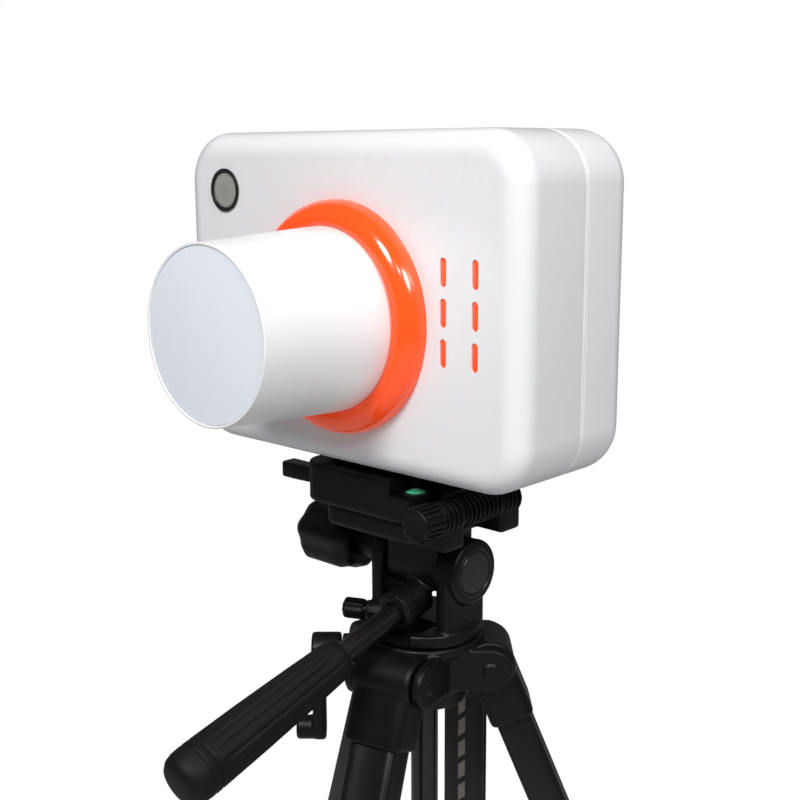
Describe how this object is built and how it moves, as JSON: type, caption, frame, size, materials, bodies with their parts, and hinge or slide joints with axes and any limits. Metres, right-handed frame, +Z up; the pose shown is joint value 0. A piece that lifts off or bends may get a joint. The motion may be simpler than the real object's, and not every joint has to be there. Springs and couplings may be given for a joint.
{
  "type": "terrestrial laser scanner",
  "caption": "Box-shaped laser scanner with a conical snout, base ring and light slots, on a photo tripod with a pan head, sloping handle and telescoping legs.",
  "frame": {"origin": "on the floor, under the middle of the whole object's box", "axes": "+Z up, the scanner looks along -Y, +X to its left as it looks out"},
  "size_m": [0.343, 0.3368, 0.6449],
  "materials": {
    "white_shell": "gloss moulded",
    "cap_plastic": "satin moulded",
    "orange_plastic": "gloss moulded",
    "black_plastic": "fine texture",
    "black_rubber": "matt",
    "black_tube": "satin black",
    "camera_glass": "coated",
    "window_glass": "polished",
    "aluminium": "satin",
    "steel": "plated",
    "brass": "turned",
    "circuit_board": "solder mask",
    "level_green": "liquid vial",
    "webbing": "woven"
  },
  "bodies": {
    "crown": {"tripod_crown": "black_plastic", "carry_strap": "webbing", "leg_pin_right": "steel", "leg_pin_front": "steel", "leg_pin_back": "steel"},
    "leg_right": {"upper_leg_right": "black_tube", "leg_collar_right": "black_plastic"},
    "extension_right": {"lower_leg_right": "aluminium", "foot_right": "black_rubber"},
    "lock_right": {"lock_lever_right": "black_plastic"},
    "leg_front": {"upper_leg_front": "black_tube", "leg_collar_front": "black_plastic"},
    "extension_front": {"lower_leg_front": "aluminium", "foot_front": "black_rubber"},
    "lock_front": {"lock_lever_front": "black_plastic"},
    "leg_back": {"upper_leg_back": "black_tube", "leg_collar_back": "black_plastic"},
    "extension_back": {"lower_leg_back": "aluminium", "foot_back": "black_rubber"},
    "lock_back": {"lock_lever_back": "black_plastic"},
    "column": {"centre_column": "black_tube"},
    "crank": {"crank": "black_plastic"},
    "pan": {"pan_base": "black_plastic"},
    "pan_knob": {"pan_lock_knob": "black_plastic"},
    "tilt": {"tilt_body": "black_plastic", "flip_pin": "steel"},
    "tilt_knob": {"tilt_lock_knob": "black_plastic"},
    "handle": {"pan_handle": "black_tube", "handle_grip": "black_rubber"},
    "flip_knob": {"flip_lock_knob": "black_plastic"},
    "flip": {"platform": "black_plastic", "bubble_level": "level_green", "quick_release_plate": "black_plastic", "plate_pad": "black_rubber", "plate_screw": "steel", "front_shell": "white_shell", "rear_shell": "white_shell", "shell_seal": "black_rubber", "snout_tube": "white_shell", "snout_window": "window_glass", "base_ring": "orange_plastic", "light_insert": "orange_plastic", "camera_bezel": "black_plastic", "camera_glass": "camera_glass", "camera_module": "black_plastic", "rotor_housing": "aluminium", "laser_module": "aluminium", "main_board": "circuit_board", "battery_pack": "black_plastic", "tripod_bush": "brass", "data_port": "black_plastic", "case_screw_1": "steel", "case_screw_2": "steel", "case_screw_3": "steel", "case_screw_4": "steel"},
    "lever": {"release_lever": "black_plastic"},
    "cap": {"end_cap": "cap_plastic"},
    "rotor_front": {"prism_rotor_front": "steel"},
    "rotor_rear": {"prism_rotor_rear": "steel"},
    "button": {"power_button": "black_plastic"}
  },
  "joints": [
    {"name": "leg_right_fold", "type": "hinge", "parent": "crown", "child": "leg_right", "pos_m": [0.04383, 0.04784, 0.37087], "axis": [-0.682, 0.7314, 0], "range_deg": [0, 22]},
    {"name": "leg_right_extend", "type": "slide", "parent": "leg_right", "child": "extension_right", "axis": [0.274, 0.2555, -0.9272], "range_m": [0, 0.16]},
    {"name": "lock_right_open", "type": "hinge", "parent": "leg_right", "child": "lock_right", "pos_m": [0.13578, 0.13359, 0.10027], "axis": [-0.682, 0.7314, 0], "range_deg": [0, 90]},
    {"name": "leg_front_fold", "type": "hinge", "parent": "crown", "child": "leg_front", "pos_m": [0.02662, -0.00847, 0.37087], "axis": [0.9744, 0.225, 0], "range_deg": [0, 22]},
    {"name": "leg_front_extend", "type": "slide", "parent": "leg_front", "child": "extension_front", "axis": [0.0843, -0.365, -0.9272], "range_m": [0, 0.16]},
    {"name": "lock_front_open", "type": "hinge", "parent": "leg_front", "child": "lock_front", "pos_m": [0.0549, -0.13098, 0.10027], "axis": [0.9744, 0.225, 0], "range_deg": [0, 90]},
    {"name": "leg_back_fold", "type": "hinge", "parent": "crown", "child": "leg_back", "pos_m": [-0.01355, 0.03459, 0.37087], "axis": [-0.2924, -0.9563, 0], "range_deg": [0, 22]},
    {"name": "leg_back_extend", "type": "slide", "parent": "leg_back", "child": "extension_back", "axis": [-0.3582, 0.1095, -0.9272], "range_m": [0, 0.16]},
    {"name": "lock_back_open", "type": "hinge", "parent": "leg_back", "child": "lock_back", "pos_m": [-0.13378, 0.07135, 0.10027], "axis": [-0.2924, -0.9563, 0], "range_deg": [0, 90]},
    {"name": "column_lift", "type": "slide", "parent": "crown", "child": "column", "axis": [0, 0, 1], "range_m": [0, 0.14]},
    {"name": "crank_turn", "type": "hinge", "parent": "crown", "child": "crank", "pos_m": [-0.01321, -0.00535, 0.37387], "axis": [-0.7314, -0.682, 0], "range_deg": [0, 1010]},
    {"name": "pan", "type": "hinge", "parent": "column", "child": "pan", "pos_m": [0.01897, 0.02465, 0.47987], "axis": [0, 0, 1], "continuous": true},
    {"name": "pan_knob_turn", "type": "hinge", "parent": "pan", "child": "pan_knob", "pos_m": [-0.01103, 0.01066, 0.39287], "axis": [-0.9063, -0.4226, 0], "range_deg": [0, 270]},
    {"name": "tilt", "type": "hinge", "parent": "pan", "child": "tilt", "pos_m": [0.01897, 0.02865, 0.42337], "axis": [1, 0, 0], "range_deg": [-70, 8]},
    {"name": "tilt_knob_turn", "type": "hinge", "parent": "pan", "child": "tilt_knob", "pos_m": [0.01897, 0.02865, 0.42337], "axis": [1, 0, 0], "range_deg": [0, 270]},
    {"name": "handle_twist", "type": "hinge", "parent": "tilt", "child": "handle", "pos_m": [0.02147, 0.02465, 0.40987], "axis": [0, -0.9613, -0.2756], "range_deg": [0, 270]},
    {"name": "flip_knob_turn", "type": "hinge", "parent": "tilt", "child": "flip_knob", "pos_m": [0.05297, -0.00565, 0.45987], "axis": [0, -1, 0], "range_deg": [0, 270]},
    {"name": "side_flip", "type": "hinge", "parent": "tilt", "child": "flip", "pos_m": [0.05297, 0.02465, 0.45987], "axis": [0, 1, 0], "range_deg": [0, 90]},
    {"name": "release_lever_swing", "type": "hinge", "parent": "flip", "child": "lever", "pos_m": [-0.03103, 0.00865, 0.47987], "axis": [0, 0, 1], "range_deg": [0, 40], "stiffness_Nm_per_rad": 0.08},
    {"name": "cap_pull", "type": "slide", "parent": "flip", "child": "cap", "axis": [0, -1, 0], "range_m": [0, 0.03]},
    {"name": "rotor_front_spin", "type": "hinge", "parent": "flip", "child": "rotor_front", "pos_m": [0.00087, -0.06715, 0.55517], "axis": [0, 1, 0], "continuous": true},
    {"name": "rotor_rear_spin", "type": "hinge", "parent": "flip", "child": "rotor_rear", "pos_m": [0.00087, -0.04115, 0.55517], "axis": [0, 1, 0], "continuous": true},
    {"name": "button_press", "type": "slide", "parent": "flip", "child": "button", "axis": [0, -1, 0], "range_m": [0, 0.0012], "stiffness_N_per_m": 400}
  ],
  "couplings": [
    {"joint": "crank_turn", "follows": "column_lift", "rad_per_m": 125}
  ]
}
